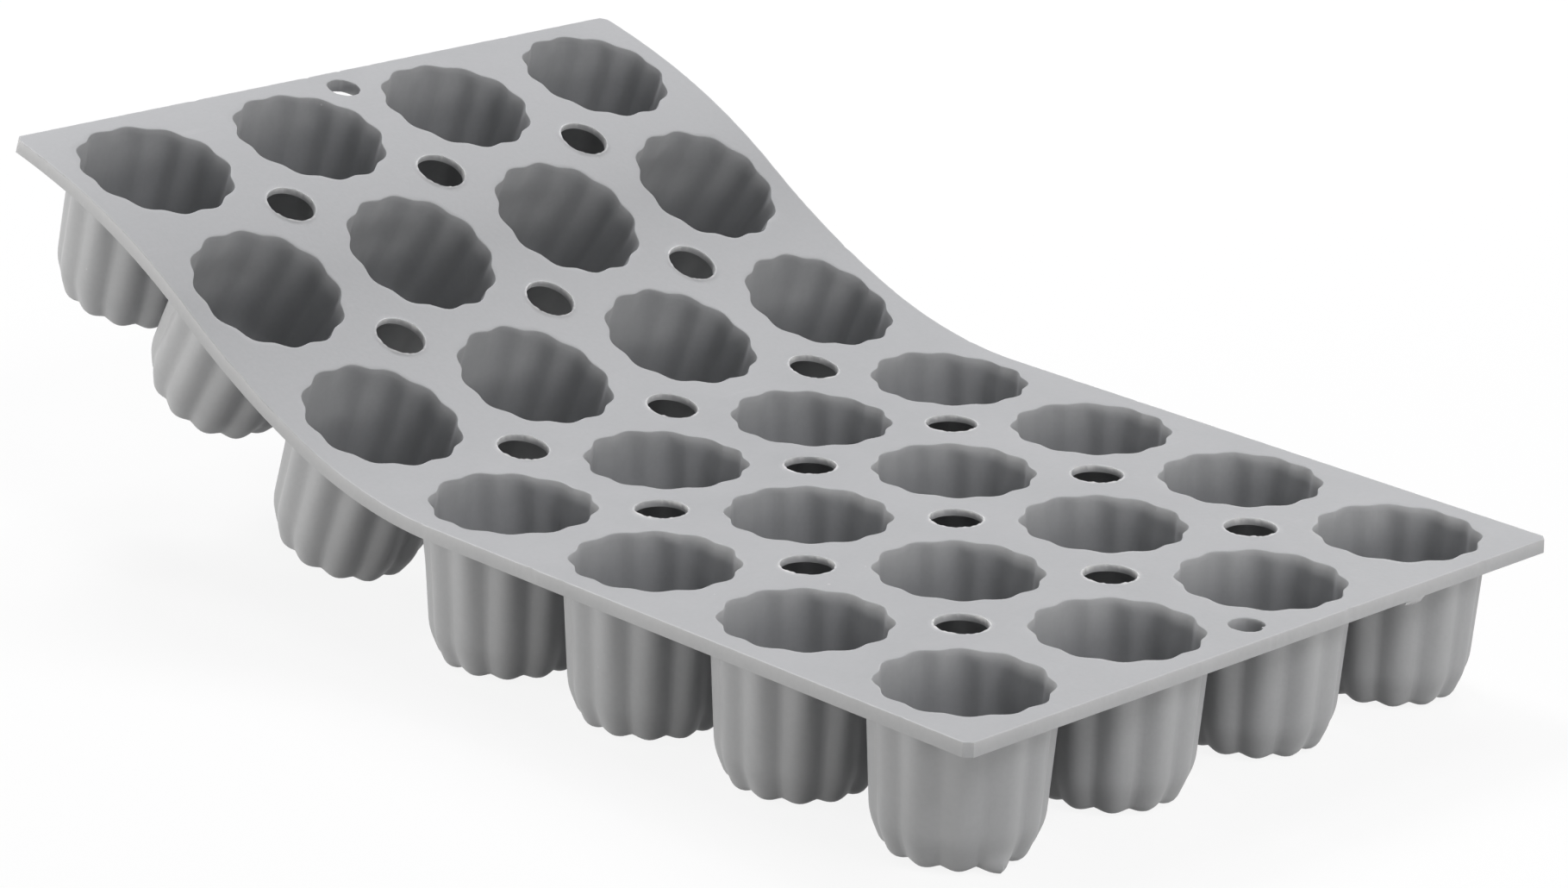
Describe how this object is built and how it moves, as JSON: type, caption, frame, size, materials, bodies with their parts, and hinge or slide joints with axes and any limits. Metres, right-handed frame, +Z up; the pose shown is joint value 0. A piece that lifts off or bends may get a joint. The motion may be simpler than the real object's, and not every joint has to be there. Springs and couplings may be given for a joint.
{
  "type": "silicone canele mould",
  "caption": "Flexible grey silicone baking mould: a perforated sheet with rows of deep fluted cups, bent into a gentle S.",
  "frame": {"origin": "under the middle of the whole mould, on the surface that the flat rows stand on", "axes": "+Y along the mould towards its raised end, +X across it, +Z up"},
  "size_m": [0.176, 0.2918, 0.0852],
  "materials": {
    "silicone": "matt grey cast silicone"
  },
  "bodies": {
    "row_1": {"row_1_sheet": "silicone", "row_1_cup_1": "silicone", "row_1_cup_2": "silicone", "row_1_cup_3": "silicone", "row_1_cup_4": "silicone"},
    "row_2": {"row_2_sheet": "silicone", "row_2_cup_1": "silicone", "row_2_cup_2": "silicone", "row_2_cup_3": "silicone", "row_2_cup_4": "silicone"},
    "row_3": {"row_3_sheet": "silicone", "row_3_cup_1": "silicone", "row_3_cup_2": "silicone", "row_3_cup_3": "silicone", "row_3_cup_4": "silicone"},
    "row_4": {"row_4_sheet": "silicone", "row_4_cup_1": "silicone", "row_4_cup_2": "silicone", "row_4_cup_3": "silicone", "row_4_cup_4": "silicone"},
    "row_5": {"row_5_sheet": "silicone", "row_5_cup_1": "silicone", "row_5_cup_2": "silicone", "row_5_cup_3": "silicone", "row_5_cup_4": "silicone"},
    "row_6": {"row_6_sheet": "silicone", "row_6_cup_1": "silicone", "row_6_cup_2": "silicone", "row_6_cup_3": "silicone", "row_6_cup_4": "silicone"},
    "row_7": {"row_7_sheet": "silicone", "row_7_cup_1": "silicone", "row_7_cup_2": "silicone", "row_7_cup_3": "silicone", "row_7_cup_4": "silicone"}
  },
  "joints": [
    {"name": "flex_4_3", "type": "hinge", "parent": "row_4", "child": "row_3", "pos_m": [0, 0.02527, 0.03569], "axis": [1, 0, 0], "range_deg": [-39.5, 23.5], "stiffness_Nm_per_rad": 0.5, "springref_deg": 6.4},
    {"name": "flex_3_2", "type": "hinge", "parent": "row_3", "child": "row_2", "pos_m": [0, 0.06509, 0.05039], "axis": [1, 0, 0], "range_deg": [-29.5, 33.5], "stiffness_Nm_per_rad": 0.5, "springref_deg": 2.95},
    {"name": "flex_2_1", "type": "hinge", "parent": "row_2", "child": "row_1", "pos_m": [0, 0.10208, 0.07147], "axis": [1, 0, 0], "range_deg": [-3, 60], "stiffness_Nm_per_rad": 0.5, "springref_deg": 0.85},
    {"name": "flex_4_5", "type": "hinge", "parent": "row_4", "child": "row_5", "pos_m": [0, -0.01721, 0.0337], "axis": [-1, 0, 0], "range_deg": [-18, 45], "stiffness_Nm_per_rad": 0.5},
    {"name": "flex_5_6", "type": "hinge", "parent": "row_5", "child": "row_6", "pos_m": [0, -0.05981, 0.0337], "axis": [-1, 0, 0], "range_deg": [-18, 45], "stiffness_Nm_per_rad": 0.5},
    {"name": "flex_6_7", "type": "hinge", "parent": "row_6", "child": "row_7", "pos_m": [0, -0.10241, 0.0337], "axis": [-1, 0, 0], "range_deg": [-18, 45], "stiffness_Nm_per_rad": 0.5}
  ]
}
